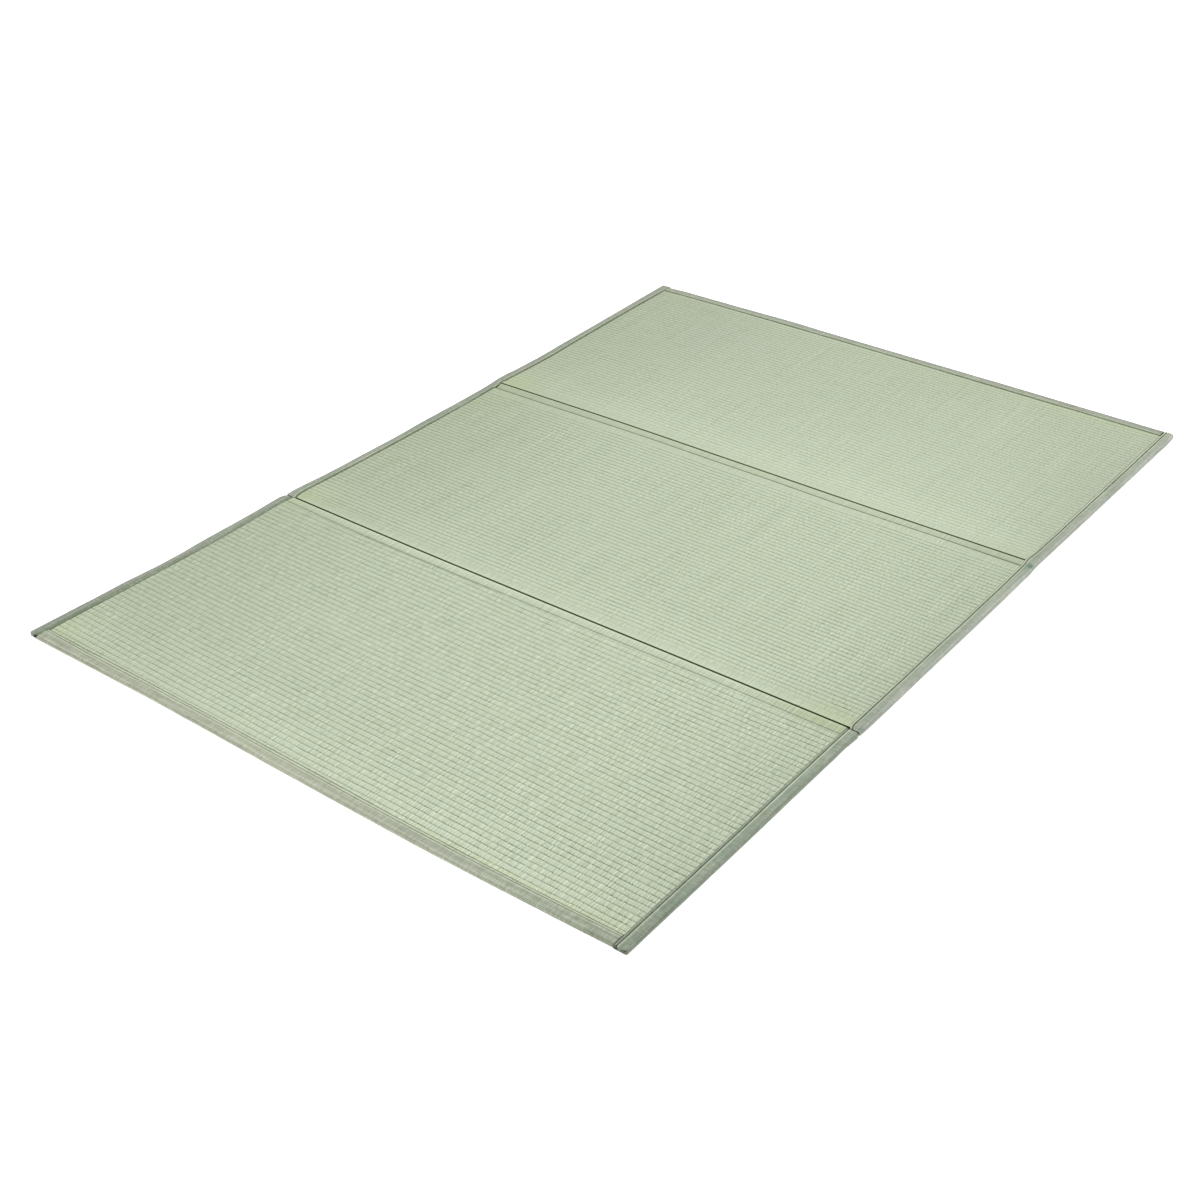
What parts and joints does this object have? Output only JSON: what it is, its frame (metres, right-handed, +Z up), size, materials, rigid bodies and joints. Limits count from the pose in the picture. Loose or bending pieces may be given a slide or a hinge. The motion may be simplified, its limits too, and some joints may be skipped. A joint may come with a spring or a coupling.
{
  "type": "folding tatami mat",
  "caption": "Flat folding mat of ribbed woven rush panels, with plain strips at its hinges and cloth tape folded round its edges.",
  "frame": {"origin": "under the middle of the mat, on the surface that it lies on", "axes": "+X across the mat, +Y along it from its near end to its far end, +Z up"},
  "size_m": [1.4102, 2.0098, 0.008],
  "materials": {
    "rush": "dry woven rush, pale grey green, matt",
    "binding": "plain woven cloth tape, grey green, matt"
  },
  "bodies": {
    "root": {"panel_near": "rush", "panel_middle": "rush", "panel_far": "rush", "binding_near": "binding", "binding_far": "binding", "binding_left_near": "binding", "binding_left_far": "binding", "binding_right_near": "binding", "binding_right_far": "binding"}
  },
  "joints": []
}
